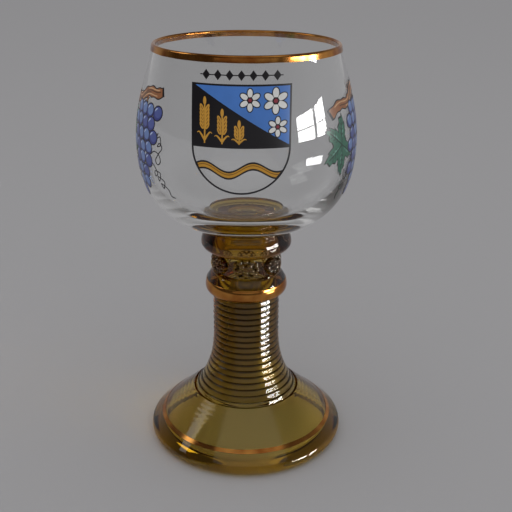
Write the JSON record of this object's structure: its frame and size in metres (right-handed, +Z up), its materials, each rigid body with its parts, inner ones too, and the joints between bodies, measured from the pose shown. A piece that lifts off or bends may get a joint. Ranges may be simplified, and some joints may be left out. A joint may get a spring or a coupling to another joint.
{
  "type": "roemer wine glass",
  "caption": "Stemmed wine glass with a clear gilt-rimmed bowl, a hollow ribbed olive stem with raspberry prunts, and a domed foot.",
  "frame": {"origin": "centre of the foot's rest face, at the bottom centre of the bounding box", "axes": "+Z up along the glass's axis, the shield on the front towards -Y, +X to the right of it"},
  "size_m": [0.075, 0.0747, 0.1452],
  "materials": {
    "clear_glass": "clear colourless blown glass, glossy",
    "olive_glass": "olive brown pressed glass, glossy",
    "gilding": "fired gold paint, burnished, a little worn",
    "black_enamel": "black fired enamel print, with blue, white and gold fields",
    "blue_enamel": "blue fired enamel print with black outlines, a brown branch and a green leaf"
  },
  "bodies": {
    "root": {"domed_foot": "olive_glass", "ribbed_stem": "olive_glass", "bead_ring": "olive_glass", "neck_tube": "olive_glass", "raspberry_prunt_1": "olive_glass", "raspberry_prunt_2": "olive_glass", "raspberry_prunt_3": "olive_glass", "raspberry_prunt_4": "olive_glass", "raspberry_prunt_5": "olive_glass", "raspberry_prunt_6": "olive_glass", "collar_ring": "olive_glass", "bowl": "clear_glass", "rim_gilding": "gilding", "bead_gilding": "gilding", "foot_gilding": "gilding", "shield_print": "black_enamel", "ornament_print": "black_enamel", "grape_print_left": "blue_enamel", "grape_print_right": "blue_enamel"}
  },
  "joints": []
}
